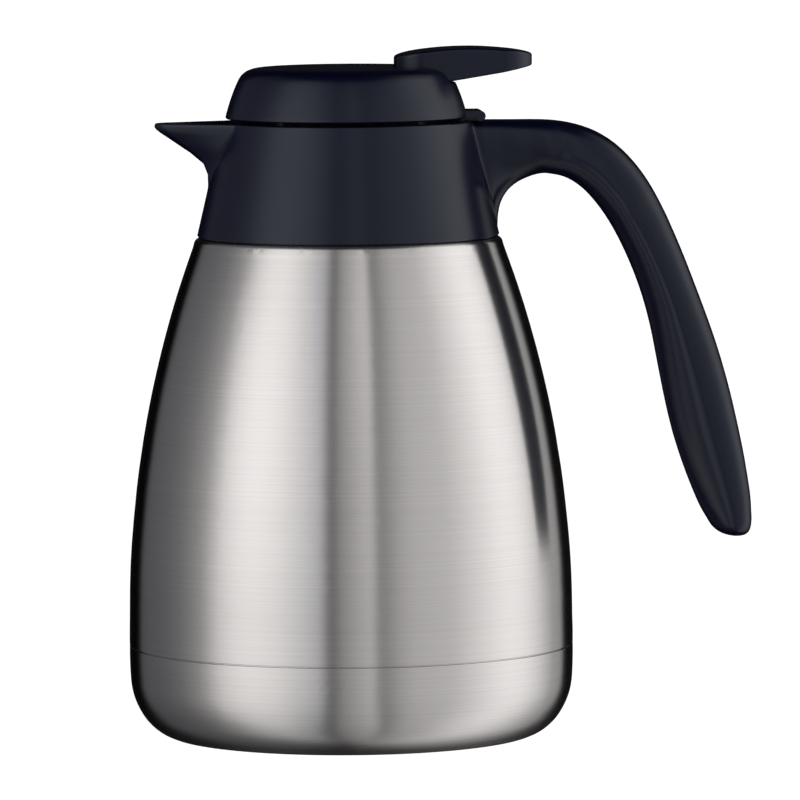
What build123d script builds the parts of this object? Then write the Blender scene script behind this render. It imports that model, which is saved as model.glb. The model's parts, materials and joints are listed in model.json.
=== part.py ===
from build123d import *
import math
import os

os.makedirs("parts", exist_ok=True)

# Insulated serving carafe: a double-walled steel vessel, a plastic collar with
# a beaked spout and an open loop handle, and a stopper whose lid flips up on a
# rear hinge and carries a press-to-pour lever over a spring-loaded valve.
# Origin: centre of the foot on the table.  +Z up, spout towards -X, handle
# towards +X.  Millimetres.

# ---------------------------------------------------------------- dimensions
# steel vessel
WALL = 0.8                    # steel sheet
SEAM_Z = 29.9                 # girth seam between shell and base cup
SEAM_GAP = 0.34               # open width of the seam groove
SHELL_OUT = [                 # outer shell, radius against height
    (72.69, SEAM_Z + SEAM_GAP / 2), (72.70, 33.8), (72.58, 40.4), (72.50, 47.0),
    (72.30, 53.6), (71.95, 60.2), (71.43, 66.8), (70.79, 73.4), (70.09, 80.0),
    (69.27, 86.5), (68.28, 93.1), (67.20, 99.7), (65.98, 106.3), (64.64, 112.8),
    (63.13, 119.4), (61.51, 126.0), (59.77, 132.5), (57.88, 139.1),
    (55.84, 145.7), (53.66, 152.2), (51.62, 158.0),
]
CUP_OUT = [                   # base cup, from the foot ring up to the seam
    (58.6, 0.0), (60.6, 0.55), (62.0, 1.15), (63.9, 2.3), (65.7, 3.8),
    (67.3, 5.5), (69.0, 8.0), (70.5, 10.9), (71.75, 14.6), (72.45, 19.6),
    (72.66, 25.0), (72.69, SEAM_Z - SEAM_GAP / 2),
]
FOOT_R_IN = 55.8              # inner edge of the foot ring
RECESS_Z = 2.6                # height of the recessed bottom
SHOULDER_Z = 163.35           # flat shoulder of the shell, under the collar
NECK_R = 41.0                 # outer radius of the shell's neck
NECK_TOP = 175.6
LIP_TOP = 176.4
LINER_NECK_R = 38.3           # outer radius of the liner's neck
LINER_OUT = [                 # liner, outer radius against height
    (66.35, 27.0), (66.5, 36.0), (66.2, 49.0), (65.6, 60.0), (64.4, 73.0),
    (62.9, 86.5), (60.8, 99.7), (58.2, 112.8), (55.1, 126.0), (51.4, 139.1),
    (47.9, 149.5), (44.6, 156.5), (41.2, 161.6), (39.1, 164.8),
    (LINER_NECK_R, 168.5),
]
LINER_FLOOR = 8.0

# plastic collar: a cone
COLLAR_Z0, COLLAR_Z1 = 163.65, 201.0
COLLAR_R0, COLLAR_R1 = 49.48, 40.75     # at the two ends of the cone
COLLAR_WALL = 1.95
MOUTH_R = 36.8                # bore that the stopper sits in
LEDGE_R, LEDGE_Z0, LEDGE_Z1 = 35.6, 177.3, 179.3
RIM_R, RIM_Z = 38.9, 199.85             # counterbore of the mouth, for the ring's flange
BEAK_BLEND, ROOT_BLEND = 3.0, 1.5       # fillets where beak and handle leave the cone

# spout beak, level sections: height, nose x, nose radius, flank x, flank half width
BEAK = [
    (177.84, -45.20, 30.0, -44.6, 4.4),
    (179.74, -45.62, 24.0, -44.9, 6.2),
    (181.25, -45.74, 16.0, -44.30, 7.7),
    (182.65, -45.72, 11.0, -43.80, 8.0),
    (184.15, -45.84, 8.40, -43.93, 8.2),
    (185.85, -46.26, 6.60, -43.47, 8.5),
    (187.65, -47.20, 5.60, -42.89, 9.2),
    (189.56, -49.08, 5.00, -42.16, 10.4),
    (191.38, -51.62, 5.00, -41.35, 11.8),
    (194.00, -55.50, 5.40, -40.08, 13.8),
    (196.62, -59.30, 6.00, -38.71, 15.7),
    (198.94, -62.50, 6.60, -37.5, 17.1),
    (200.30, -63.05, 6.80, -37.0, 17.5),
    (201.00, -62.60, 6.50, -36.9, 17.4),
]
FLANK_SINK = 0.9              # how far the flanks run on into the wall
# trough of the spout, same kind of sections
TROUGH = [
    (188.6, -41.50, 3.00, -36.4, 5.6),
    (190.2, -44.20, 3.10, -36.0, 7.6),
    (192.6, -48.60, 3.30, -35.4, 10.2),
    (195.6, -53.70, 3.80, -34.6, 12.8),
    (198.4, -58.20, 4.40, -33.6, 14.8),
    (200.2, -60.10, 4.60, -32.8, 15.6),
    (202.4, -60.60, 4.70, -32.4, 15.8),
]

# handle: sections across the grip, root first
# inner x, inner z, outer x, outer z, half width, crest share, roundness of the inner edge, squareness of the back
HANDLE = [
    (48.90, 164.60, 39.00, 201.20, 9.60, 0.800, 1.00, 3.60),
    (48.98, 167.86, 42.32, 201.20, 9.60, 0.791, 1.00, 3.60),
    (49.39, 171.75, 44.99, 201.20, 9.60, 0.773, 1.00, 3.60),
    (51.99, 177.49, 49.65, 201.20, 9.60, 0.714, 1.00, 3.45),
    (56.59, 181.17, 54.80, 201.16, 10.07, 0.639, 1.00, 3.27),
    (61.41, 183.00, 60.74, 201.15, 10.54, 0.571, 0.88, 3.12),
    (65.80, 183.29, 67.48, 200.81, 11.01, 0.512, 0.75, 3.02),
    (69.76, 182.53, 74.57, 199.53, 11.48, 0.472, 0.62, 2.96),
    (73.31, 180.96, 81.45, 196.99, 11.95, 0.444, 0.50, 2.91),
    (76.54, 178.64, 87.55, 193.08, 12.42, 0.429, 0.38, 2.85),
    (79.49, 175.71, 92.62, 188.24, 12.89, 0.420, 0.25, 2.80),
    (82.31, 172.21, 96.73, 183.02, 13.36, 0.420, 0.12, 2.80),
    (85.01, 168.25, 100.06, 177.69, 13.83, 0.420, 0.00, 2.80),
    (87.52, 163.90, 102.89, 172.31, 13.64, 0.425, 0.00, 2.80),
    (89.83, 159.31, 105.40, 166.91, 13.88, 0.438, 0.00, 2.80),
    (91.95, 154.60, 107.73, 161.47, 14.04, 0.451, 0.00, 2.80),
    (93.88, 149.78, 109.96, 156.01, 14.15, 0.467, 0.00, 2.80),
    (95.62, 144.83, 112.06, 150.57, 14.23, 0.484, 0.00, 2.80),
    (97.15, 139.77, 114.10, 145.14, 14.28, 0.499, 0.00, 2.80),
    (98.45, 134.65, 116.12, 139.71, 14.28, 0.509, 0.00, 2.80),
    (99.57, 129.45, 118.08, 134.28, 14.28, 0.519, 0.00, 2.80),
    (100.57, 124.16, 119.92, 128.89, 14.28, 0.533, 0.00, 2.80),
    (101.56, 118.81, 121.61, 123.52, 14.28, 0.549, 0.00, 2.80),
    (102.59, 113.42, 123.16, 118.14, 14.24, 0.565, 0.00, 2.80),
    (103.70, 107.99, 124.58, 112.79, 14.16, 0.580, 0.00, 2.80),
    (104.92, 102.52, 125.86, 107.47, 14.06, 0.591, 0.00, 2.80),
    (106.33, 97.06, 127.04, 102.15, 13.92, 0.600, 0.00, 2.80),
    (107.98, 91.66, 128.16, 96.82, 13.76, 0.607, 0.00, 2.80),
    (109.78, 86.35, 129.23, 91.45, 13.56, 0.610, 0.00, 2.80),
    (111.77, 81.07, 130.20, 85.82, 13.30, 0.612, 0.00, 2.76),
    (113.85, 75.99, 131.09, 80.20, 12.96, 0.610, 0.00, 2.70),
    (116.39, 70.96, 131.73, 73.78, 12.48, 0.600, 0.14, 2.60),
    (117.98, 68.25, 131.93, 69.86, 11.88, 0.590, 0.29, 2.50),
    (119.40, 66.38, 131.80, 67.36, 11.04, 0.570, 0.43, 2.40),
    (120.76, 65.22, 131.41, 65.70, 9.84, 0.550, 0.57, 2.30),
    (122.17, 64.43, 130.73, 64.60, 8.16, 0.530, 0.71, 2.20),
    (123.58, 63.94, 129.84, 63.98, 6.12, 0.520, 0.86, 2.10),
    (124.89, 63.66, 128.80, 63.66, 3.84, 0.500, 1.00, 2.00),
    (126.10, 63.52, 127.71, 63.52, 1.56, 0.500, 1.00, 2.00),
]
CREST_TILT = 5.0              # slope at the widest point of the grip

# two screws hold the handle's root to the collar's rear boss, heads in the mouth
HSCREW_Z = (184.6, 193.4)
HSCREW_HEAD_R, HSCREW_HEAD_H = 2.75, 1.7
HSCREW_R = 1.5
HSCREW_LEN = 16.0

# stopper ring
RING_R = 36.4
RING_Z0 = 180.2
RING_IN0, RING_IN0_Z = 30.6, 184.0
RING_IN1, RING_IN1_Z = 34.6, 199.6
FLANGE_R, FLANGE_Z0, FLANGE_Z1 = 38.6, 199.95, 200.95
TONGUE_Z0, TONGUE_Z1 = 201.1, 201.95      # plate that reaches back to the hinge
HINGE_X, HINGE_Z = 43.0, 202.75
KNUCKLE_R = 1.65
HINGE_PIN_R = 0.9

# lid
LID_Z0 = 202.2
LID_WALL = 1.85
LID_X = -0.36                 # axis of the cover's outer side
DOME = [                      # outer side, from the lower edge to the crown
    (39.46, 202.6), (39.30, 203.5), (38.93, 204.8), (38.30, 206.9), (37.50, 209.3),
    (36.53, 211.8), (35.48, 214.2), (34.62, 215.75), (33.25, 217.15),
    (31.00, 218.25), (27.00, 218.70),
]
CROWN_Z = 218.80
PLATE_R, PLATE_Z0, PLATE_Z1 = 36.7, 203.2, 205.2
PLUG_R1, PLUG_R0, PLUG_Z0 = 33.0, 29.3, 186.2
PLUG_WALL = 1.8
LSCREW_XY = 24.2
SLOT_Z = 213.5

# lever
LEVER_W = 12.5                # half width
LEVER_X0 = 15.5
LEVER_CORNER, LEVER_TIP = 9.0, 10.5     # plan radii of the front and rear corners
PIVOT_X, PIVOT_Z = 28.0, 213.5
PIVOT_PIN_R = 1.25
LEVER_X1 = 60.35
LEVER_TOP = [
    (LEVER_X0, 222.16), (18.0, 222.90), (21.9, 223.66), (27.8, 224.41), (33.7, 224.85),
    (39.5, 224.98), (45.4, 224.82), (51.3, 224.35), (57.1, 223.65), (LEVER_X1, 222.94),
]
LEVER_UNDER = [(LEVER_X1, 218.98), (49.9, 216.88), (35.5, 214.56), (31.0, 213.86)]

# valve
STEM_X = 7.0
SEAT_R = 8.0
SEAL_Z0, SEAL_Z1 = 186.3, 188.4
NUT_Z = 211.4
FORK_Z, FORK_R = 209.6, 1.5     # rounded tips of the lever's fork
SPRING_R, SPRING_WIRE_R, SPRING_PITCH = 5.0, 0.45, 2.3
SPRING_Z0, SPRING_Z1 = 189.7, 203.1

# ---------------------------------------------------------------- helpers


def inset(points, t):
    """The same run of points moved sideways by t, to the left of its direction."""
    out = []
    for i, (r, z) in enumerate(points):
        r0, z0 = points[max(i - 1, 0)]
        r1, z1 = points[min(i + 1, len(points) - 1)]
        dr, dz = r1 - r0, z1 - z0
        n = math.hypot(dr, dz)
        out.append((r - t * dz / n, z + t * dr / n))
    return out


def grip_section(xi, zi, xo, zo, half, crest, soft, pout):
    """D-shaped section of the grip: four curves that run on smoothly at the widest points."""
    length = math.hypot(xo - xi, zo - zi)
    dx, dz = (xo - xi) / length, (zo - zi) / length
    plane = Plane(origin=(xi, 0, zi), x_dir=(dx, 0, dz), z_dir=(-dz, 0, dx))
    c = crest * length
    # reach of the handles that gives each quarter its squareness
    ki, kc = 0.20 + 0.28 * soft, 0.50 - 0.02 * soft
    ko = (8 * 0.5 ** (1 / pout) - 4) / 3
    t = math.tan(math.radians(CREST_TILT))
    inner = [(0, 0), (0, ki * half), (c - kc * c, half + kc * c * t), (c, half)]
    outer = [(c, half), (c + ko * (length - c), half - ko * (length - c) * t), (length, ko * half), (length, 0)]
    with BuildSketch(plane) as sec:
        with BuildLine():
            Bezier(*inner)
            Bezier(*outer)
            Bezier(*[(u, -v) for u, v in outer[::-1]])
            Bezier(*[(u, -v) for u, v in inner[::-1]])
        make_face()
    return sec.sketch


def beak_section(z, nose, radius, flank_x, flank_w, back):
    """Level section of the beak: two straight flanks and a round nose."""
    # centre of the nose circle, and the point where the flank leaves it
    cx = nose + radius
    dx, dy = flank_x - cx, flank_w
    dist = math.hypot(dx, dy)
    base = math.atan2(dy, dx)
    off = math.acos(max(-1.0, min(1.0, radius / dist)))
    ang = base + off
    tx, ty = cx + radius * math.cos(ang), radius * math.sin(ang)
    # the flank ends a little inside the wall, then runs level to the line x = back
    k = 1 - FLANK_SINK / math.hypot(flank_x, flank_w)
    fx, fy = flank_x * k, flank_w * k
    with BuildSketch(Plane.XY.offset(z)) as sec:
        with BuildLine():
            Line((back, fy), (fx, fy))
            Line((fx, fy), (tx, ty))
            ThreePointArc((tx, ty), (nose, 0), (tx, -ty))
            Line((tx, -ty), (fx, -fy))
            Line((fx, -fy), (back, -fy))
            Line((back, -fy), (back, fy))
        make_face()
    return sec.sketch


def cone_r(z):
    """Outer radius of the collar at a height."""
    return COLLAR_R0 + (COLLAR_R1 - COLLAR_R0) * (z - COLLAR_Z0) / (COLLAR_Z1 - COLLAR_Z0)


def on_cone(edge):
    """Whether an edge runs on the collar's cone."""
    return all(abs(math.hypot((edge @ t).X, (edge @ t).Y) - cone_r((edge @ t).Z)) < 0.02 for t in (0.1, 0.5, 0.9))


# ---------------------------------------------------------------- steel vessel

# outer shell: drawn wall, flat shoulder and threaded neck
shell_in = inset(SHELL_OUT, WALL)
with BuildPart() as outer_shell:
    with BuildSketch(Plane.XZ):
        with BuildLine():
            wall_out = Spline(*SHELL_OUT)
            roll_out = Spline(SHELL_OUT[-1], (50.62, 161.0), (50.15, 162.35), (49.2, 163.15), (48.0, SHOULDER_Z),
                              tangents=[wall_out % 1, (-1, 0)])
            Line((48.0, SHOULDER_Z), (NECK_R + 1.2, SHOULDER_Z))
            ThreePointArc((NECK_R + 1.2, SHOULDER_Z), (NECK_R + 0.35, SHOULDER_Z + 0.35), (NECK_R, SHOULDER_Z + 1.2))
            Line((NECK_R, SHOULDER_Z + 1.2), (NECK_R, NECK_TOP))
            Line((NECK_R, NECK_TOP), (NECK_R - WALL, NECK_TOP))
            Line((NECK_R - WALL, NECK_TOP), (NECK_R - WALL, SHOULDER_Z + 0.6))
            Line((NECK_R - WALL, SHOULDER_Z + 0.6), (NECK_R + 0.6, SHOULDER_Z - WALL))
            Line((NECK_R + 0.6, SHOULDER_Z - WALL), (47.6, SHOULDER_Z - WALL))
            Line((47.6, SHOULDER_Z - WALL), (49.3, 161.4))
            Line((49.3, 161.4), shell_in[-1])
            Spline(*shell_in[::-1])
            Line(shell_in[0], SHELL_OUT[0])
        make_face()
    revolve(axis=Axis.Z)
    # two rolled beads that the collar's skirt grips
    with BuildSketch(Plane.XZ):
        with Locations((NECK_R - 0.2, 168.2), (NECK_R - 0.2, 172.2)):
            Circle(0.8)
    revolve(axis=Axis.Z)
    hem = outer_shell.edges().filter_by(GeomType.CIRCLE).filter_by(
        lambda e: abs(e.center().Z - SHELL_OUT[0][1]) < 0.01 and e.radius > 72.5)
    fillet(hem, 0.22)
outer_shell.part.label = "outer_shell"

# base cup: joggled lip inside the shell, rounded corner, foot ring, recessed bottom
cup_in = inset(CUP_OUT[2:], WALL)
with BuildPart() as base_cup:
    with BuildSketch(Plane.XZ):
        with BuildLine():
            Line((0, RECESS_Z), (FOOT_R_IN - 3.6, RECESS_Z))
            Spline((FOOT_R_IN - 3.6, RECESS_Z), (FOOT_R_IN - 1.7, 1.5), (FOOT_R_IN, 0.0),
                   tangents=[(1, 0), (0.7, -0.7)])
            Line((FOOT_R_IN, 0), CUP_OUT[0])
            Spline(*CUP_OUT, tangents=[(1, 0.05), (0, 1)])
            Line(CUP_OUT[-1], cup_in[-1])
            Spline(*cup_in[::-1])
            Line(cup_in[0], (58.4, 0.95))
            Line((58.4, 0.95), (56.4, 0.95))
            Line((56.4, 0.95), (FOOT_R_IN - 3.2, RECESS_Z + 0.9))
            Line((FOOT_R_IN - 3.2, RECESS_Z + 0.9), (0, RECESS_Z + 0.9))
            Line((0, RECESS_Z + 0.9), (0, RECESS_Z))
        make_face()
    revolve(axis=Axis.Z)
    # joggled lip that the shell is welded over
    with BuildSketch(Plane.XZ):
        with BuildLine():
            Polyline((71.97, 26.0), (71.97, 29.2), (71.82, 29.6), (71.80, 36.0), (71.15, 36.0),
                     (71.15, 25.2), (71.97, 26.0))
        make_face()
    revolve(axis=Axis.Z)
    rim = base_cup.edges().filter_by(GeomType.CIRCLE).filter_by(
        lambda e: abs(e.center().Z - CUP_OUT[-1][1]) < 0.01 and e.radius > 72.5)
    fillet(rim, 0.22)
    # evacuation hole
    Hole(radius=5.0)
base_cup.part.label = "base_cup"

# plug brazed over the evacuation hole
with BuildPart() as vacuum_plug:
    with BuildSketch(Plane.XZ):
        with BuildLine():
            Polyline((0, RECESS_Z + 0.1), (4.2, RECESS_Z + 0.1), (5.0, RECESS_Z + 0.5), (5.0, RECESS_Z + 0.9),
                     (8.0, RECESS_Z + 0.9), (8.0, RECESS_Z + 1.7), (0, RECESS_Z + 1.7), (0, RECESS_Z + 0.1))
        make_face()
    revolve(axis=Axis.Z)
vacuum_plug.part.label = "vacuum_plug"

# getter that keeps the vacuum, a ring standing on the cup's floor
with BuildPart() as getter_ring:
    with BuildSketch(Plane.XY.offset(RECESS_Z + 0.9)):
        Circle(24.0)
        Circle(20.5, mode=Mode.SUBTRACT)
    extrude(amount=2.2)
getter_ring.part.label = "getter_ring"

# inner liner: the vessel that holds the drink
liner_in = inset(LINER_OUT, WALL)
with BuildPart() as inner_liner:
    with BuildSketch(Plane.XZ):
        with BuildLine():
            Line((0, LINER_FLOOR), (50.0, LINER_FLOOR))
            Spline((50.0, LINER_FLOOR), (56.5, 9.2), (61.6, 12.6), (64.9, 18.0), LINER_OUT[0],
                   tangents=[(1, 0), (0.02, 1)])
            Spline(*LINER_OUT, tangents=[(0.02, 1), (0, 1)])
            Line(LINER_OUT[-1], (LINER_NECK_R, NECK_TOP))
            Line((LINER_NECK_R, NECK_TOP), (NECK_R, NECK_TOP))
            Line((NECK_R, NECK_TOP), (NECK_R, LIP_TOP))
            Line((NECK_R, LIP_TOP), (LINER_NECK_R - WALL + 0.5, LIP_TOP))
            Line((LINER_NECK_R - WALL + 0.5, LIP_TOP), (LINER_NECK_R - WALL, LIP_TOP - 0.5))
            Line((LINER_NECK_R - WALL, LIP_TOP - 0.5), (LINER_NECK_R - WALL, LINER_OUT[-1][1]))
            Spline(*([(LINER_NECK_R - WALL, LINER_OUT[-1][1])] + liner_in[-2:0:-1] + [(LINER_OUT[0][0] - WALL, LINER_OUT[0][1])]))
            Spline((LINER_OUT[0][0] - WALL, LINER_OUT[0][1]), (64.15, 18.35), (61.0, 13.2), (56.2, 9.98),
                   (50.0, LINER_FLOOR + WALL), tangents=[(-0.02, -1), (-1, 0)])
            Line((50.0, LINER_FLOOR + WALL), (0, LINER_FLOOR + WALL))
            Line((0, LINER_FLOOR + WALL), (0, LINER_FLOOR))
        make_face()
    revolve(axis=Axis.Z)
inner_liner.part.label = "inner_liner"

# heat-reflecting foil wrapped round the liner inside the vacuum space
foil_in = inset(LINER_OUT[:12], -0.35)
foil_out = inset(LINER_OUT[:12], -0.6)
with BuildPart() as foil_wrap:
    with BuildSketch(Plane.XZ):
        with BuildLine():
            Spline(*foil_in)
            Line(foil_in[-1], foil_out[-1])
            Spline(*foil_out[::-1])
            Line(foil_out[0], foil_in[0])
        make_face()
    revolve(axis=Axis.Z)
foil_wrap.part.label = "foil_wrap"

# seal between the vessel's lip and the collar's ledge
with BuildPart() as neck_seal:
    with BuildSketch(Plane.XY.offset(LIP_TOP)):
        Circle(40.8)
        Circle(37.9, mode=Mode.SUBTRACT)
    extrude(amount=LEDGE_Z0 - LIP_TOP)
neck_seal.part.label = "neck_seal"

# ---------------------------------------------------------------- collar and handle

SCOOP_R = KNUCKLE_R + 0.5     # clearance round the lid's hinge knuckles
SCOOP_W = 9.8

# solid of the beak, which also fills the skirt's hollow behind it
with BuildPart() as beak:
    for row in BEAK:
        add(beak_section(*row, back=-34.0))
    loft()

# space between the outer wall and the mouth's tube
with BuildPart() as skirt_hollow:
    with BuildSketch(Plane.XZ):
        with BuildLine():
            Polyline(
                (NECK_R + 0.9, COLLAR_Z0 - 1), (cone_r(COLLAR_Z0 - 1) - COLLAR_WALL, COLLAR_Z0 - 1),
                (cone_r(198.5) - COLLAR_WALL, 198.5), (MOUTH_R + 1.8, 198.5), (MOUTH_R + 1.8, LEDGE_Z1),
                (NECK_R + 2.1, LEDGE_Z1), (NECK_R + 2.1, 166.8), (NECK_R + 0.9, 166.8), (NECK_R + 0.9, COLLAR_Z0 - 1))
        make_face()
    revolve(axis=Axis.Z)
    add(beak.part, mode=Mode.SUBTRACT)

with BuildPart() as collar:
    # cone and beak, blended where they meet
    with BuildSketch(Plane.XZ):
        with BuildLine():
            Polyline((0, COLLAR_Z0), (COLLAR_R0, COLLAR_Z0), (COLLAR_R1, COLLAR_Z1), (0, COLLAR_Z1), (0, COLLAR_Z0))
        make_face()
    revolve(axis=Axis.Z)
    add(beak.part)
    fillet(collar.edges().filter_by(lambda e: on_cone(e) and e.center().X < -30 and e.center().Z > COLLAR_Z0 + 1), BEAK_BLEND)
    # softened lower and upper edges
    chamfer(collar.edges().filter_by(lambda e: abs((e @ 0.5).Z - COLLAR_Z0) < 0.01 and abs((e @ 0.2).Z - COLLAR_Z0) < 0.01), 0.5)
    fillet(collar.edges().filter_by(lambda e: abs((e @ 0.5).Z - COLLAR_Z1) < 0.01 and abs((e @ 0.2).Z - COLLAR_Z1) < 0.01), 0.4)
    # neck space, ledge, mouth and counterbore
    with BuildSketch(Plane.XZ):
        with BuildLine():
            Polyline(
                (0, COLLAR_Z0 - 1), (NECK_R + 0.9, COLLAR_Z0 - 1), (NECK_R + 0.9, LEDGE_Z0), (LEDGE_R, LEDGE_Z0),
                (LEDGE_R, LEDGE_Z1), (MOUTH_R, LEDGE_Z1), (MOUTH_R, RIM_Z - 0.4), (MOUTH_R + 0.4, RIM_Z), (RIM_R, RIM_Z),
                (RIM_R, COLLAR_Z1 - 0.3), (RIM_R + 0.3, COLLAR_Z1), (RIM_R + 0.3, COLLAR_Z1 + 1), (0, COLLAR_Z1 + 1),
                (0, COLLAR_Z0 - 1))
        make_face()
    revolve(axis=Axis.Z, mode=Mode.SUBTRACT)
    add(skirt_hollow.part, mode=Mode.SUBTRACT)
    # ribs inside the skirt that snap under the neck's beads
    with BuildSketch(Plane.XZ):
        with Locations((NECK_R + 1.05, 170.2)):
            Circle(0.6)
    revolve(axis=Axis.Z)
    # boss for the handle screws, across the hollow at the back
    with BuildSketch(Plane.XY.offset(LEDGE_Z1)):
        with Locations((40.0, 0)):
            Rectangle(6.4, 12.0)
    extrude(until=Until.NEXT)
    # bore of the mouth, through the boss
    with BuildSketch(Plane.XY.offset(LEDGE_Z1)):
        Circle(MOUTH_R)
    extrude(amount=18, mode=Mode.SUBTRACT)
    # trough of the spout
    for row in TROUGH:
        add(beak_section(*row, back=-30.0))
    loft(mode=Mode.SUBTRACT)
    # holes for the handle screws, with pockets for their heads
    for z in HSCREW_Z:
        with BuildSketch(Plane.YZ.offset(30.0)):
            with Locations((0, z)):
                Circle(HSCREW_HEAD_R + 0.25)
        extrude(amount=MOUTH_R + HSCREW_HEAD_H + 0.35 - 30.0, mode=Mode.SUBTRACT)
        with BuildSketch(Plane.YZ.offset(36.0)):
            with Locations((0, z)):
                Circle(HSCREW_R + 0.1)
        extrude(amount=12.0, mode=Mode.SUBTRACT)
    # scoop in the rim under the hinge
    with BuildSketch(Plane.XZ.offset(-SCOOP_W)):
        with Locations((HINGE_X, HINGE_Z)):
            Circle(SCOOP_R)
    extrude(amount=2 * SCOOP_W, mode=Mode.SUBTRACT)
collar.part.label = "collar"

# handle: an open loop lofted through D-shaped sections
with BuildPart() as handle:
    for row in HANDLE:
        add(grip_section(*row))
    loft()
    # the root is blended into the cone of the collar, and cut to it
    with BuildSketch(Plane.XZ):
        with BuildLine():
            Polyline((0, 158.0), (cone_r(158.0), 158.0), (cone_r(206.0), 206.0), (0, 206.0), (0, 158.0))
        make_face()
    revolve(axis=Axis.Z)
    fillet(handle.edges().filter_by(lambda e: on_cone(e) and e.geom_type != GeomType.LINE and 160 < e.center().Z < 205), ROOT_BLEND)
    with BuildSketch(Plane.XZ):
        with BuildLine():
            Polyline((0, 150.0), (cone_r(150.0) + 0.02, 150.0), (cone_r(208.0) + 0.02, 208.0), (0, 208.0), (0, 150.0))
        make_face()
    revolve(axis=Axis.Z, mode=Mode.SUBTRACT)
    # scoop under the hinge
    with BuildSketch(Plane.XZ.offset(-SCOOP_W)):
        with Locations((HINGE_X, HINGE_Z)):
            Circle(SCOOP_R)
    extrude(amount=2 * SCOOP_W, mode=Mode.SUBTRACT)
    # level landing under the hinge plate
    with BuildSketch(Plane.XY.offset(200.85)):
        with Locations((HINGE_X - 1.5, 0)):
            Rectangle(5.0, 31.0)
    extrude(amount=6.0, mode=Mode.SUBTRACT)
    # pilot holes for the screws
    for z in HSCREW_Z:
        with BuildSketch(Plane.YZ.offset(36.0)):
            with Locations((0, z)):
                Circle(HSCREW_R)
        extrude(amount=MOUTH_R + HSCREW_LEN + 1.6 - 36.0, mode=Mode.SUBTRACT)
handle.part.label = "handle"

# handle screws: pan heads in the mouth's pockets
with BuildPart() as handle_screws:
    for z in HSCREW_Z:
        x0 = MOUTH_R + 0.35
        with BuildSketch(Plane.YZ.offset(x0)):
            with Locations((0, z)):
                Circle(HSCREW_HEAD_R)
                Rectangle(0.9, 4.0, mode=Mode.SUBTRACT)
                Rectangle(4.0, 0.9, mode=Mode.SUBTRACT)
        extrude(amount=0.8)
        with BuildSketch(Plane.YZ.offset(x0 + 0.8)):
            with Locations((0, z)):
                Circle(HSCREW_HEAD_R)
        extrude(amount=HSCREW_HEAD_H - 0.8)
        with BuildSketch(Plane.YZ.offset(x0 + HSCREW_HEAD_H)):
            with Locations((0, z)):
                Circle(HSCREW_R)
        extrude(amount=HSCREW_LEN - HSCREW_HEAD_H - 1.0)
    tips = handle_screws.faces().sort_by(Axis.X)[-2:]
    chamfer(tips.edges(), 0.8)
handle_screws.part.label = "handle_screws"

# ---------------------------------------------------------------- stopper ring

with BuildPart() as stopper_ring:
    with BuildSketch(Plane.XZ):
        with BuildLine():
            Polyline(
                (RING_IN0, RING_Z0), (RING_R - 1.9, RING_Z0), (RING_R - 1.9, RING_Z0 + 3.0), (RING_R - 0.8, RING_Z0 + 3.0),
                (RING_R, RING_Z0 + 3.8), (RING_R, FLANGE_Z0), (FLANGE_R - 0.3, FLANGE_Z0), (FLANGE_R, FLANGE_Z0 + 0.3),
                (FLANGE_R, FLANGE_Z1 - 0.3), (FLANGE_R - 0.3, FLANGE_Z1), (RING_IN1 + 0.7, FLANGE_Z1),
                (RING_IN1, FLANGE_Z1 - 0.6), (RING_IN1, RING_IN1_Z), (RING_IN0, RING_IN0_Z), (RING_IN0, RING_Z0))
        make_face()
    revolve(axis=Axis.Z)
    # plate that rises from the flange and reaches back to the hinge
    with BuildSketch(Plane.XY.offset(FLANGE_Z0)):
        with Locations((37.4, 0)):
            Rectangle(1.8, 9.6)
    extrude(amount=TONGUE_Z1 - FLANGE_Z0)
    with BuildSketch(Plane.XY.offset(TONGUE_Z0)):
        with Locations((39.75, 0)):
            Rectangle(6.5, 9.6)
    extrude(amount=TONGUE_Z1 - TONGUE_Z0)
    # knuckle of the hinge, with the plate's neck rising to it
    with BuildSketch(Plane.XZ.offset(-4.8)):
        with Locations((HINGE_X, HINGE_Z)):
            Circle(KNUCKLE_R)
    extrude(amount=9.6)
    with BuildSketch(Plane.XZ.offset(-6.0)):
        with Locations((HINGE_X, HINGE_Z)):
            Circle(HINGE_PIN_R)
    extrude(amount=12.0, mode=Mode.SUBTRACT)
    # pouring window at the front
    with BuildSketch(Plane.YZ.offset(-45.0)):
        with Locations((0, 194.0)):
            RectangleRounded(26.0, 10.0, 2.0)
    extrude(amount=20.0, mode=Mode.SUBTRACT)
stopper_ring.part.label = "stopper_ring"

# soft ring round the foot of the stopper
with BuildPart() as ring_gasket:
    with BuildSketch(Plane.XZ):
        with BuildLine():
            Polyline((RING_R - 1.9, RING_Z0), (RING_R - 0.4, RING_Z0), (RING_R + 0.15, RING_Z0 + 0.7),
                     (RING_R - 0.4, RING_Z0 + 1.4), (RING_R + 0.15, RING_Z0 + 2.1), (RING_R - 0.4, RING_Z0 + 2.9),
                     (RING_R - 1.9, RING_Z0 + 2.9), (RING_R - 1.9, RING_Z0))
        make_face()
    revolve(axis=Axis.Z)
ring_gasket.part.label = "ring_gasket"

# hinge pin of the lid, pressed into the ring's knuckle
with BuildPart() as hinge_pin:
    with BuildSketch(Plane.XZ.offset(-8.7)):
        with Locations((HINGE_X, HINGE_Z)):
            Circle(HINGE_PIN_R)
    extrude(amount=16.7)
    chamfer(hinge_pin.edges().filter_by(GeomType.CIRCLE), 0.2)
hinge_pin.part.label = "hinge_pin"

# ---------------------------------------------------------------- lid

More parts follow.
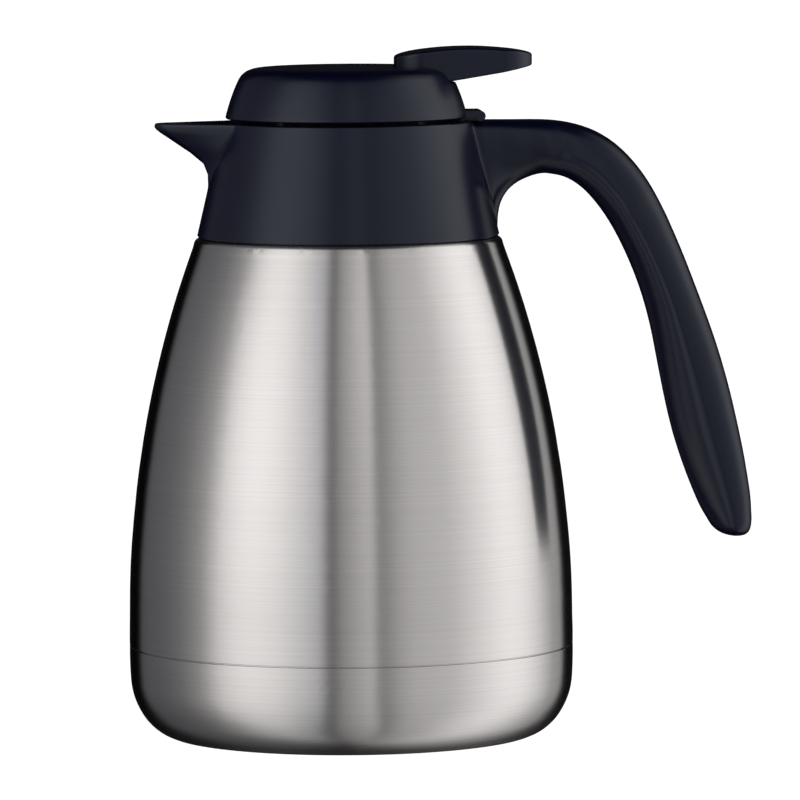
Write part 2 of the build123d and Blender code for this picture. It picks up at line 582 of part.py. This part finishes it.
# hollow of the lid cover, less the ribs and bosses that stay standing in it
with BuildPart() as lid_hollow:
    dome_in = [(r, z) for r, z in inset(DOME, LID_WALL)]
    with BuildSketch(Plane.XZ):
        with BuildLine():
            Line((0, LID_Z0 - 1), (dome_in[0][0], LID_Z0 - 1))
            Line((dome_in[0][0], LID_Z0 - 1), dome_in[0])
            Spline(*dome_in)
            Line(dome_in[-1], (14.0, CROWN_Z - LID_WALL))
            Line((14.0, CROWN_Z - LID_WALL), (0, CROWN_Z - LID_WALL))
            Line((0, CROWN_Z - LID_WALL), (0, LID_Z0 - 1))
        make_face()
    revolve(axis=Axis.Z)
    # two walls beside the lever, which carry its pin
    for side in (-1, 1):
        with BuildSketch(Plane.XY.offset(207.0)):
            with Locations((24.5, side * (LEVER_W + 0.45 + 1.5))):
                Rectangle(22.0, 3.0)
        extrude(amount=15.0, mode=Mode.SUBTRACT)
    # bosses for the screws that hold the plate
    with BuildSketch(Plane.XY.offset(PLATE_Z1)):
        with Locations(*[(LSCREW_XY * a, LSCREW_XY * b) for a in (-1, 1) for b in (-1, 1)]):
            Circle(3.1)
    extrude(amount=15.0, mode=Mode.SUBTRACT)

with BuildPart() as lid_cover:
    with BuildSketch(Plane(origin=(LID_X, 0, 0), x_dir=(1, 0, 0), z_dir=(0, -1, 0))):
        with BuildLine():
            Line((0, LID_Z0), (DOME[0][0] - 0.35, LID_Z0))
            Line((DOME[0][0] - 0.35, LID_Z0), DOME[0])
            crown = Spline(*DOME)
            Spline(DOME[-1], (20.0, CROWN_Z - 0.02), (14.0, CROWN_Z), tangents=[crown % 1, (-1, 0)])
            Line((14.0, CROWN_Z), (0, CROWN_Z))
            Line((0, CROWN_Z), (0, LID_Z0))
        make_face()
    revolve(axis=Axis((LID_X, 0, 0), (0, 0, 1)))
    add(lid_hollow.part, mode=Mode.SUBTRACT)
    # slot that the lever lies in, open at the back
    with BuildSketch(Plane.XY.offset(SLOT_Z)):
        with Locations((LEVER_X0 - 0.4 + 25.0, 0)):
            RectangleRounded(50.0, 2 * (LEVER_W + 0.4), LEVER_CORNER + 0.4)
    extrude(amount=12.0, mode=Mode.SUBTRACT)
    # arms of the rear hinge
    for y in (-5.2, 8.8):
        with BuildSketch(Plane.XZ.offset(-y)):
            with BuildLine():
                Polyline((37.2, LID_Z0), (HINGE_X, LID_Z0), (HINGE_X, HINGE_Z + KNUCKLE_R),
                         (37.0, HINGE_Z + KNUCKLE_R), (37.2, LID_Z0))
            make_face()
        extrude(amount=3.6)
        with BuildSketch(Plane.XZ.offset(-y)):
            with Locations((HINGE_X, HINGE_Z)):
                Circle(KNUCKLE_R)
        extrude(amount=3.6)
    with BuildSketch(Plane.XZ.offset(-9.6)):
        with Locations((HINGE_X, HINGE_Z)):
            Circle(HINGE_PIN_R + 0.05)
    extrude(amount=17.65, mode=Mode.SUBTRACT)
    # bore of the lever's pin
    with BuildSketch(Plane.XZ.offset(-16.6)):
        with Locations((PIVOT_X, PIVOT_Z)):
            Circle(PIVOT_PIN_R)
    extrude(amount=33.2, mode=Mode.SUBTRACT)
    # pilot holes in the bosses
    with BuildSketch(Plane.XY.offset(PLATE_Z1)):
        with Locations(*[(LSCREW_XY * a, LSCREW_XY * b) for a in (-1, 1) for b in (-1, 1)]):
            Circle(1.1)
    extrude(amount=8.0, mode=Mode.SUBTRACT)
lid_cover.part.label = "lid_cover"

# lid base: plate under the cover and the hollow plug that hangs from it
with BuildPart() as lid_base:
    with BuildSketch(Plane.XZ):
        with BuildLine():
            Polyline((0, PLATE_Z0), (PLUG_R1 - PLUG_WALL, PLATE_Z0), (PLUG_R0 - PLUG_WALL, PLUG_Z0), (PLUG_R0, PLUG_Z0),
                     (PLUG_R1, PLATE_Z0), (PLATE_R, PLATE_Z0), (PLATE_R, PLATE_Z1), (0, PLATE_Z1), (0, PLATE_Z0))
        make_face()
    revolve(axis=Axis.Z)
    # pouring window at the front of the plug
    with BuildSketch(Plane.YZ.offset(-45.0)):
        with Locations((0, 194.5)):
            RectangleRounded(20.0, 9.0, 2.0)
    extrude(amount=30.0, mode=Mode.SUBTRACT)
    # hole for the stem's bush
    with Locations((STEM_X, 0, PLATE_Z0)):
        Hole(radius=3.6)
    # countersunk holes for the screws, from below
    with Locations(*[Plane(origin=(LSCREW_XY * a, LSCREW_XY * b, PLATE_Z0), z_dir=(0, 0, -1)) for a in (-1, 1) for b in (-1, 1)]):
        CounterSinkHole(radius=1.5, counter_sink_radius=2.7, depth=4.0, counter_sink_angle=90)
lid_base.part.label = "lid_base"

# floor of the plug, with the valve's seat
with BuildPart() as plug_floor:
    with BuildSketch(Plane.XY.offset(PLUG_Z0 - 1.7)):
        Circle(28.4)
    extrude(amount=1.7)
    with BuildSketch(Plane.XY.offset(PLUG_Z0)):
        Circle(PLUG_R0 - PLUG_WALL - 0.02)
        Circle(PLUG_R0 - PLUG_WALL - 1.6, mode=Mode.SUBTRACT)
    extrude(amount=2.0)
    with Locations((STEM_X, 0, PLUG_Z0)):
        Hole(radius=SEAT_R)
plug_floor.part.label = "plug_floor"

# lip seal round the foot of the plug
with BuildPart() as plug_gasket:
    with BuildSketch(Plane.XZ):
        with BuildLine():
            Polyline((28.4, PLUG_Z0 - 1.6), (29.6, PLUG_Z0 - 1.6), (30.35, PLUG_Z0 - 0.5), (30.1, PLUG_Z0 - 0.15),
                     (28.4, PLUG_Z0 - 0.15), (28.4, PLUG_Z0 - 1.6))
        make_face()
    revolve(axis=Axis.Z)
plug_gasket.part.label = "plug_gasket"

# four countersunk screws, from below through the plate into the cover's bosses
with BuildPart() as lid_screws:
    for a in (-1, 1):
        for b in (-1, 1):
            with BuildSketch(Plane(origin=(LSCREW_XY * a, LSCREW_XY * b, 0), x_dir=(1, 0, 0), z_dir=(0, -1, 0))):
                with BuildLine():
                    Polyline((0, PLATE_Z0 + 0.7), (0.45, PLATE_Z0 + 0.7), (0.45, PLATE_Z0), (2.6, PLATE_Z0), (1.35, PLATE_Z0 + 1.25),
                             (1.1, PLATE_Z0 + 1.9), (1.1, PLATE_Z0 + 8.4), (0.6, PLATE_Z0 + 9.0), (0, PLATE_Z0 + 9.0), (0, PLATE_Z0 + 0.7))
                make_face()
            revolve(axis=Axis((LSCREW_XY * a, LSCREW_XY * b, 0), (0, 0, 1)))
lid_screws.part.label = "lid_screws"

# bush that guides the valve's stem
with BuildPart() as stem_bush:
    with BuildSketch(Plane(origin=(STEM_X, 0, 0), x_dir=(1, 0, 0), z_dir=(0, -1, 0))):
        with BuildLine():
            Polyline((2.06, 200.8), (3.6, 200.8), (3.6, PLATE_Z1), (5.4, PLATE_Z1), (5.4, PLATE_Z1 + 1.0),
                     (2.06, PLATE_Z1 + 1.0), (2.06, 200.8))
        make_face()
    revolve(axis=Axis((STEM_X, 0, 0), (0, 0, 1)))
stem_bush.part.label = "stem_bush"

# lever's pin, across the two walls of the cover
with BuildPart() as lever_pin:
    with BuildSketch(Plane.XZ.offset(-15.6)):
        with Locations((PIVOT_X, PIVOT_Z)):
            Circle(PIVOT_PIN_R)
    extrude(amount=31.2)
    chamfer(lever_pin.edges().filter_by(GeomType.CIRCLE), 0.3)
lever_pin.part.label = "lever_pin"

# ---------------------------------------------------------------- lever and valve

with BuildPart() as lever:
    # thumb blade, wedge-shaped from the side
    with BuildSketch(Plane.XZ.offset(-LEVER_W)):
        with BuildLine():
            Line((LEVER_X0, 216.4), (LEVER_X0, LEVER_TOP[0][1]))
            Spline(*LEVER_TOP)
            Line(LEVER_TOP[-1], LEVER_UNDER[0])
            Polyline(*LEVER_UNDER)
            Line(LEVER_UNDER[-1], (22.0, 213.9))
            Line((22.0, 213.9), (LEVER_X0, 216.4))
        make_face()
    extrude(amount=2 * LEVER_W)
    # rounded corners in plan
    with BuildSketch(Plane.XY.offset(205.0)) as plan:
        with Locations(((LEVER_X0 + LEVER_X1) / 2, 0)):
            Rectangle(LEVER_X1 - LEVER_X0, 2 * LEVER_W)
        fillet(plan.vertices().group_by(Axis.X)[0], LEVER_CORNER)
        fillet(plan.vertices().group_by(Axis.X)[-1], LEVER_TIP)
    extrude(amount=30.0, mode=Mode.INTERSECT)
    top = lever.faces().filter_by(lambda f: f.normal_at().Z > 0.9)
    fillet(top.edges().filter_by(lambda e: True), 1.0)
    under = lever.faces().filter_by(lambda f: f.normal_at().Z < -0.9 and f.center().X > 45.0)
    fillet(under.edges().filter_by(lambda e: e.center().X > 50.0), 0.8)
    # barrel round the pin
    with BuildSketch(Plane.XZ.offset(-LEVER_W)):
        with Locations((PIVOT_X, PIVOT_Z)):
            Circle(3.2)
    extrude(amount=2 * LEVER_W)
    # arm that reaches forward under the crown to lift the stem
    with BuildSketch(Plane.XZ.offset(-4.6)):
        with BuildLine():
            Polyline((PIVOT_X - 1.0, PIVOT_Z - 3.0), (12.0, 208.3), (STEM_X, 208.2), (STEM_X, 210.6), (12.0, 210.7),
                     (18.5, 213.6), (PIVOT_X - 2.0, 215.4), (PIVOT_X - 1.0, PIVOT_Z - 3.0))
        make_face()
    extrude(amount=9.2)
    with BuildSketch(Plane.XZ.offset(-4.6)):
        with Locations((STEM_X, FORK_Z)):
            Circle(FORK_R)
    extrude(amount=9.2)
    # fork slot round the stem
    with BuildSketch(Plane.XY.offset(206.5)):
        with Locations((STEM_X - 2.0, 0)):
            SlotOverall(13.0, 4.9)
    extrude(amount=6.0, mode=Mode.SUBTRACT)
    with BuildSketch(Plane.XZ.offset(-LEVER_W)):
        with Locations((PIVOT_X, PIVOT_Z)):
            Circle(PIVOT_PIN_R + 0.05)
    extrude(amount=2 * LEVER_W, mode=Mode.SUBTRACT)
lever.part.label = "lever"

# stem: foot flange on the seal, rod up through the bush and the fork
with BuildPart() as valve_stem:
    with BuildSketch(Plane(origin=(STEM_X, 0, 0), x_dir=(1, 0, 0), z_dir=(0, -1, 0))):
        with BuildLine():
            Polyline((0, SEAL_Z0 - 1.0), (5.6, SEAL_Z0 - 1.0), (5.6, SEAL_Z0), (3.6, SEAL_Z0), (3.6, SEAL_Z1), (9.4, SEAL_Z1),
                     (9.4, SEAL_Z1 + 1.2), (3.2, SEAL_Z1 + 1.2), (2.6, SEAL_Z1 + 3.2), (2.0, SEAL_Z1 + 3.8), (2.0, NUT_Z),
                     (1.5, NUT_Z), (1.5, NUT_Z + 1.5), (0, NUT_Z + 1.5), (0, SEAL_Z0 - 1.0))
        make_face()
    revolve(axis=Axis((STEM_X, 0, 0), (0, 0, 1)))
valve_stem.part.label = "valve_stem"

# nut on top of the stem, which the fork lifts
with BuildPart() as stem_nut:
    with BuildSketch(Plane.XY.offset(NUT_Z)):
        with Locations((STEM_X, 0)):
            RegularPolygon(radius=4.4, side_count=6)
            Circle(1.5, mode=Mode.SUBTRACT)
    extrude(amount=1.4)
stem_nut.part.label = "stem_nut"

# soft disc that closes the seat
with BuildPart() as valve_seal:
    with BuildSketch(Plane(origin=(STEM_X, 0, 0), x_dir=(1, 0, 0), z_dir=(0, -1, 0))):
        with BuildLine():
            Polyline((3.6, SEAL_Z0), (10.2, SEAL_Z0), (10.6, SEAL_Z0 + 0.5), (10.2, SEAL_Z1), (3.6, SEAL_Z1), (3.6, SEAL_Z0))
        make_face()
    revolve(axis=Axis((STEM_X, 0, 0), (0, 0, 1)))
valve_seal.part.label = "valve_seal"

# compression spring between the plate and the foot flange
with BuildPart() as valve_spring:
    with BuildLine() as coil:
        Helix(pitch=SPRING_PITCH, height=SPRING_Z1 - SPRING_Z0 - 2 * SPRING_WIRE_R, radius=SPRING_R,
              center=(STEM_X, 0, SPRING_Z0 + SPRING_WIRE_R))
    with BuildSketch(Plane(origin=coil.line @ 0, z_dir=coil.line % 0)):
        Circle(SPRING_WIRE_R)
    sweep(is_frenet=True)
valve_spring.part.label = "valve_spring"

# ---------------------------------------------------------------- files

for piece in (outer_shell, base_cup, vacuum_plug, getter_ring, inner_liner, foil_wrap, neck_seal,
              collar, handle, handle_screws, stopper_ring, ring_gasket, hinge_pin,
              lid_cover, lid_base, plug_floor, plug_gasket, lid_screws, stem_bush, lever_pin,
              lever, valve_stem, stem_nut, valve_seal, valve_spring):
    export_step(piece.part, "parts/" + piece.part.label + ".step")
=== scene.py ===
import bpy
import bmesh
import json
import math
from mathutils import Matrix, Vector

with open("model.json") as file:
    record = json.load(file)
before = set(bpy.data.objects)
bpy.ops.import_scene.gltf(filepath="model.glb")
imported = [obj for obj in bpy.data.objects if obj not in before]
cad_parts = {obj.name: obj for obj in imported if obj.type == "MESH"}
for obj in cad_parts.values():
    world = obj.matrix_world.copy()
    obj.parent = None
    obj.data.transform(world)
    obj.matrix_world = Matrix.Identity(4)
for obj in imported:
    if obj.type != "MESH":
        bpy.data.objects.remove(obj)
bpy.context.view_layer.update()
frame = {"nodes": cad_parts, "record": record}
nodes = frame["nodes"]
scene = bpy.context.scene
scene.view_settings.view_transform = "Standard"
scene.view_settings.look = "None"


# ------------------------------------------------------------------ node helpers

class Tree:
    """Small helper that adds shader nodes and wires them."""

    def __init__(self, tree):
        self.t = tree
        self.t.nodes.clear()

    def node(self, kind, **props):
        n = self.t.nodes.new(kind)
        for k, v in props.items():
            setattr(n, k, v)
        return n

    def put(self, socket, value):
        if isinstance(value, bpy.types.NodeSocket):
            self.t.links.new(value, socket)
        elif value is not None:
            socket.default_value = value

    def math(self, op, a, b=None, c=None, clamp=False):
        n = self.node("ShaderNodeMath", operation=op, use_clamp=clamp)
        self.put(n.inputs[0], a)
        if b is not None:
            self.put(n.inputs[1], b)
        if c is not None:
            self.put(n.inputs[2], c)
        return n.outputs[0]

    def ramp(self, value, a, b, lo=0.0, hi=1.0, smooth=True):
        n = self.node("ShaderNodeMapRange", interpolation_type="SMOOTHSTEP" if smooth else "LINEAR", clamp=True)
        self.put(n.inputs["Value"], value)
        self.put(n.inputs["From Min"], a)
        self.put(n.inputs["From Max"], b)
        self.put(n.inputs["To Min"], lo)
        self.put(n.inputs["To Max"], hi)
        return n.outputs["Result"]

    def scaled(self, vec, sx, sy, sz):
        n = self.node("ShaderNodeVectorMath", operation="MULTIPLY")
        self.put(n.inputs[0], vec)
        n.inputs[1].default_value = (sx, sy, sz)
        return n.outputs[0]

    def noise(self, vec, scale, detail=2.0, rough=0.5):
        n = self.node("ShaderNodeTexNoise", noise_dimensions="3D")
        self.put(n.inputs["Vector"], vec)
        n.inputs["Scale"].default_value = scale
        n.inputs["Detail"].default_value = detail
        n.inputs["Roughness"].default_value = rough
        return n.outputs["Fac"]

    def table(self, value, lo, hi, stops):
        """Colour read off a list of (position, level or colour) stops."""
        n = self.node("ShaderNodeValToRGB")
        n.color_ramp.interpolation = "LINEAR"
        el = n.color_ramp.elements
        el.remove(el[1])
        for i, (at, c) in enumerate(stops):
            c = (c, c, c) if isinstance(c, (int, float)) else c
            e = el[0] if i == 0 else el.new((at - lo) / (hi - lo))
            e.position = (at - lo) / (hi - lo)
            e.color = (c[0], c[1], c[2], 1.0)
        self.put(n.inputs["Fac"], self.ramp(value, lo, hi, smooth=False))
        return n.outputs["Color"]

    def times(self, a, b):
        n = self.node("ShaderNodeVectorMath", operation="MULTIPLY")
        self.put(n.inputs[0], a)
        self.put(n.inputs[1], b)
        return n.outputs[0]

    def mix(self, fac, a, b):
        n = self.node("ShaderNodeMix", data_type="RGBA")
        self.put(n.inputs["Factor"], fac)
        self.put(n.inputs[6], a)
        self.put(n.inputs[7], b)
        return n.outputs[2]

    def bump(self, height, strength, distance, normal=None):
        n = self.node("ShaderNodeBump")
        n.inputs["Strength"].default_value = strength
        n.inputs["Distance"].default_value = distance
        self.put(n.inputs["Height"], height)
        if normal is not None:
            self.put(n.inputs["Normal"], normal)
        return n.outputs["Normal"]


def material(name):
    m = bpy.data.materials.new(name)
    m.use_nodes = True
    t = Tree(m.node_tree)
    out = t.node("ShaderNodeOutputMaterial")
    bsdf = t.node("ShaderNodeBsdfPrincipled")
    t.put(out.inputs["Surface"], bsdf.outputs["BSDF"])
    coord = t.node("ShaderNodeTexCoord").outputs["Object"]
    return m, t, bsdf, coord


# ------------------------------------------------------------------ materials

def brushed_steel(name, tint, rough):
    """Sheet steel with very fine brushing round the vertical axis."""
    m, t, b, co = material(name)
    fine = t.noise(t.scaled(co, 9.0, 9.0, 5200.0), 1.0, 3.0, 0.6)
    hair = t.noise(t.scaled(co, 5.0, 5.0, 2400.0), 1.0, 2.0, 0.5)
    broad = t.noise(t.scaled(co, 6.0, 6.0, 9.0), 1.0, 2.0, 0.5)
    s = t.math("MULTIPLY_ADD", hair, 0.4, t.math("MULTIPLY", fine, 0.6))
    dark = tuple(c * 0.95 for c in tint) + (1.0,)
    light = tuple(min(1.0, c * 1.03) for c in tint) + (1.0,)
    t.put(b.inputs["Base Color"], t.mix(t.ramp(s, 0.3, 0.7), dark, light))
    b.inputs["Metallic"].default_value = 1.0
    r = t.math("MULTIPLY_ADD", t.ramp(s, 0.25, 0.75, -0.5, 0.5, smooth=False), 0.03, rough)
    t.put(b.inputs["Roughness"], t.math("MULTIPLY_ADD", t.math("SUBTRACT", broad, 0.5), 0.02, r))
    b.inputs["Anisotropic"].default_value = 0.9
    b.inputs["Anisotropic Rotation"].default_value = 0.25
    tan = t.node("ShaderNodeTangent", direction_type="RADIAL", axis="Z")
    t.put(b.inputs["Tangent"], tan.outputs["Tangent"])
    t.put(b.inputs["Normal"], t.bump(s, 0.03, 0.00002))
    return m


def moulded_plastic(name, dark, light, rough, grain=2600.0, bump=0.12, spec=0.5):
    """Moulded plastic with a fine satin grain."""
    m, t, b, co = material(name)
    g = t.noise(co, grain, 2.0, 0.6)
    broad = t.noise(co, 28.0, 3.0, 0.55)
    t.put(b.inputs["Base Color"], t.mix(t.ramp(broad, 0.3, 0.7), dark + (1.0,), light + (1.0,)))
    r = t.math("MULTIPLY_ADD", t.math("SUBTRACT", broad, 0.5), 0.07, rough)
    t.put(b.inputs["Roughness"], t.math("MULTIPLY_ADD", t.math("SUBTRACT", g, 0.5), 0.05, r))
    b.inputs["Specular IOR Level"].default_value = spec
    b.inputs["Specular Tint"].default_value = (0.87, 0.95, 1.0, 1.0)
    t.put(b.inputs["Normal"], t.bump(g, bump, 0.00003))
    return m


def silicone(name):
    m, t, b, co = material(name)
    broad = t.noise(co, 60.0, 2.0, 0.5)
    g = t.noise(co, 900.0, 2.0, 0.5)
    t.put(b.inputs["Base Color"], t.mix(broad, (0.62, 0.62, 0.60, 1.0), (0.72, 0.72, 0.70, 1.0)))
    t.put(b.inputs["Roughness"], t.math("MULTIPLY_ADD", g, 0.12, 0.42))
    b.inputs["Subsurface Weight"].default_value = 0.15
    b.inputs["Subsurface Radius"].default_value = (0.002, 0.002, 0.002)
    t.put(b.inputs["Normal"], t.bump(g, 0.1, 0.00005))
    return m


def plain_metal(name, tint, rough):
    m, t, b, co = material(name)
    n = t.noise(co, 400.0, 3.0, 0.55)
    t.put(b.inputs["Base Color"], t.mix(n, tuple(c * 0.9 for c in tint) + (1.0,), tint + (1.0,)))
    b.inputs["Metallic"].default_value = 1.0
    t.put(b.inputs["Roughness"], t.math("MULTIPLY_ADD", n, 0.12, rough))
    t.put(b.inputs["Normal"], t.bump(n, 0.05, 0.00004))
    return m


STEEL = brushed_steel("brushed_steel_body", (0.805, 0.775, 0.763), 0.235)
PLASTIC = moulded_plastic("dark_plastic", (0.0017, 0.0020, 0.0182), (0.0020, 0.0024, 0.0205), 0.285, spec=0.52)
INNER_PLASTIC = moulded_plastic("inner_plastic", (0.0060, 0.0060, 0.0150), (0.0075, 0.0075, 0.0175), 0.34, grain=1800.0, bump=0.06)
INNER_STEEL = plain_metal("inner_steel", (0.70, 0.69, 0.68), 0.22)
FASTENER = plain_metal("fastener_steel", (0.62, 0.61, 0.60), 0.26)
FOIL = plain_metal("foil", (0.86, 0.86, 0.87), 0.16)
SILICONE = silicone("silicone")

BY_SLOT = {"brushed_steel_body": STEEL, "dark_plastic": PLASTIC, "inner_steel": INNER_STEEL, "silicone": SILICONE,
           "inner_plastic": INNER_PLASTIC, "fastener_steel": FASTENER, "foil": FOIL}
slot_of = {s["node"]: s["material_slot"] for s in frame["record"]["subparts"]}
for name, obj in nodes.items():
    obj.data.materials.clear()
    obj.data.materials.append(BY_SLOT[slot_of[name]])
    for p in obj.data.polygons:
        p.material_index = 0

# ------------------------------------------------------------------ floor

bpy.ops.mesh.primitive_circle_add(vertices=96, radius=14.0, fill_type="NGON", location=(0, 0, 0))
floor = bpy.context.object
floor.name = "floor"
fm = bpy.data.materials.new("floor_white")
fm.use_nodes = True
ft = Tree(fm.node_tree)
fo = ft.node("ShaderNodeOutputMaterial")
fd = ft.node("ShaderNodeBsdfDiffuse")
fd.inputs["Color"].default_value = (0.86, 0.86, 0.86, 1.0)
fe = ft.node("ShaderNodeEmission")
fe.inputs["Strength"].default_value = 0.86
fa = ft.node("ShaderNodeAddShader")
ft.put(fa.inputs[0], fd.outputs[0])
ft.put(fa.inputs[1], fe.outputs[0])
ft.put(fo.inputs["Surface"], fa.outputs[0])
floor.data.materials.append(fm)
floor.visible_glossy = False
floor.visible_diffuse = False
floor.visible_transmission = False
floor.visible_shadow = False

# ------------------------------------------------------------------ studio

world = bpy.data.worlds.new("studio")
scene.world = world
world.use_nodes = True
w = Tree(world.node_tree)
wout = w.node("ShaderNodeOutputWorld")
turn = w.node("ShaderNodeVectorRotate", rotation_type="Z_AXIS")
turn.inputs["Angle"].default_value = math.radians(3.7)
w.put(turn.inputs["Vector"], w.node("ShaderNodeTexCoord").outputs["Generated"])
sep = w.node("ShaderNodeSeparateXYZ")
w.put(sep.inputs[0], turn.outputs["Vector"])
dx, dy, dz = sep.outputs
az = w.math("MULTIPLY", w.math("ARCTAN2", dx, w.math("MULTIPLY", dy, -1.0)), 180.0 / math.pi)
el = w.math("MULTIPLY", w.math("ARCSINE", w.math("MINIMUM", w.math("MAXIMUM", dz, -1.0), 1.0)), 180.0 / math.pi)


def cool(v, k=1.0):
    return (v * (1 - 0.04 * k), v, v * (1 + 0.09 * k))


# soft panels and cards round the object, by azimuth from the camera's side (degrees, + to the right)
LEFT = [
    (-180.0, 0.014), (-166.0, 0.005), (-152.0, 0.0), (-144.0, 0.0), (-139.5, cool(0.110)), (-134.0, cool(0.122)), (-120.0, cool(0.140)), (-110.0, cool(0.165, 0.6)),
    (-100.0, cool(0.215, 0.4)), (-90.0, 0.318), (-85.0, 0.405), (-80.0, 0.560), (-75.0, 0.800), (-70.0, 0.975), (-65.0, 1.090),
    (-58.0, 1.190), (-50.0, 1.190), (-40.0, 1.095), (-30.0, 0.910), (-20.0, cool(0.725, 0.5)), (-15.0, cool(0.600, 0.5)),
    (-11.8, 0.200), (-9.0, 0.132), (-5.0, 0.355), (0.0, 0.450),
]
RIGHT = [
    (0.0, 0.450), (6.0, 0.570), (11.8, 0.690), (14.8, 0.240), (18.0, 0.275), (25.0, 0.430), (34.0, 0.545), (45.0, 0.582),
    (54.0, 0.615), (60.0, 0.695), (70.0, 0.845), (80.0, 1.000), (88.0, 1.105), (95.0, 1.115), (101.0, 1.085), (107.0, 0.990),
    (113.0, 0.860), (120.0, 0.680), (130.0, 0.410), (138.0, 0.380), (141.5, 0.320), (145.5, 0.0),
    (152.0, 0.0), (166.0, 0.005), (180.0, 0.014),
]
# the front card widens away from the level view
SPREAD = [
    (-90.0, 0.45), (-65.0, 0.50), (-56.0, 0.64), (-48.0, 0.74), (-33.0, 0.86), (-18.0, 0.97), (-4.0, 1.03), (10.0, 1.0),
    (20.0, 0.95), (33.0, 0.87), (60.0, 0.80), (90.0, 0.80),
]
near = w.ramp(w.math("ABSOLUTE", az), 18.0, 50.0, 1.0, 0.0)
az = w.math("MULTIPLY", az, w.mix(near, (1.0, 1.0, 1.0, 1.0), w.table(el, -90.0, 90.0, SPREAD)))
level = w.mix(w.math("GREATER_THAN", az, 0.0), w.table(az, -180.0, 180.0, LEFT), w.table(az, -180.0, 180.0, RIGHT))
# how the panels fade below and above: on the left, on the front card and on the right
FADE_LEFT = [
    (-90.0, 0.14), (-76.0, 0.23), (-62.0, 0.34), (-50.0, 0.49), (-40.0, 0.55), (-28.0, 0.61), (-18.0, 0.68), (-8.0, 0.72),
    (-2.0, 0.80), (4.0, 0.90), (10.0, 1.0), (17.0, 0.99), (26.0, 0.87), (38.0, 0.82), (52.0, 0.50), (64.0, 0.05), (90.0, 0.0),
]
FADE_CARD = [
    (-90.0, 0.34), (-74.0, 0.48), (-64.0, 0.55), (-52.0, 0.65), (-38.0, 0.70), (-22.0, 0.72), (-8.0, 0.74), (2.0, 0.80),
    (10.0, 0.87), (18.0, 1.00), (26.0, 1.03), (38.0, 1.07), (52.0, 0.70), (64.0, 0.10), (90.0, 0.0),
]
FADE_RIGHT = [
    (-90.0, 0.34), (-74.0, 0.50), (-64.0, 0.58), (-52.0, 0.70), (-38.0, 0.79), (-22.0, 0.84), (-8.0, 0.88), (2.0, 0.94),
    (10.0, 0.98), (18.0, 1.00), (26.0, 0.93), (38.0, 0.91), (52.0, 0.55), (64.0, 0.05), (90.0, 0.0),
]
fade = w.mix(w.ramp(az, -15.0, -8.0), w.table(el, -90.0, 90.0, FADE_LEFT), w.table(el, -90.0, 90.0, FADE_CARD))
fade = w.mix(w.ramp(az, 12.0, 18.0), fade, w.table(el, -90.0, 90.0, FADE_RIGHT))
level = w.times(level, fade)
studio = w.node("ShaderNodeBackground")
w.put(studio.inputs["Color"], level)
studio.inputs["Strength"].default_value = 1.0
plain = w.node("ShaderNodeBackground")
plain.inputs["Color"].default_value = (1.0, 1.0, 1.0, 1.0)
path = w.node("ShaderNodeLightPath")
mixw = w.node("ShaderNodeMixShader")
w.put(mixw.inputs[0], path.outputs["Is Camera Ray"])
w.put(mixw.inputs[1], studio.outputs[0])
w.put(mixw.inputs[2], plain.outputs[0])
w.put(wout.inputs["Surface"], mixw.outputs[0])

# ------------------------------------------------------------------ camera

PITCH, ROLL, SWING = math.radians(4.78), math.radians(0.40), math.radians(-3.7)
fwd = Vector((0.0, math.cos(PITCH), -math.sin(PITCH)))
right0 = Vector((1.0, 0.0, 0.0))
up0 = Vector((0.0, math.sin(PITCH), math.cos(PITCH)))
right = right0 * math.cos(ROLL) - up0 * math.sin(ROLL)
upv = right0 * math.sin(ROLL) + up0 * math.cos(ROLL)
cam_data = bpy.data.cameras.new("camera")
cam_data.sensor_width = 36.0
cam_data.lens = 366.75
cam_data.clip_start = 0.1
cam_data.clip_end = 60.0
cam = bpy.data.objects.new("camera", cam_data)
scene.collection.objects.link(cam)
rot = Matrix((right, upv, -fwd)).transposed()
cam.matrix_world = Matrix.Rotation(SWING, 4, "Z") @ Matrix.Translation((0.01653, -2.65903, 0.33195)) @ rot.to_4x4()
scene.camera = cam
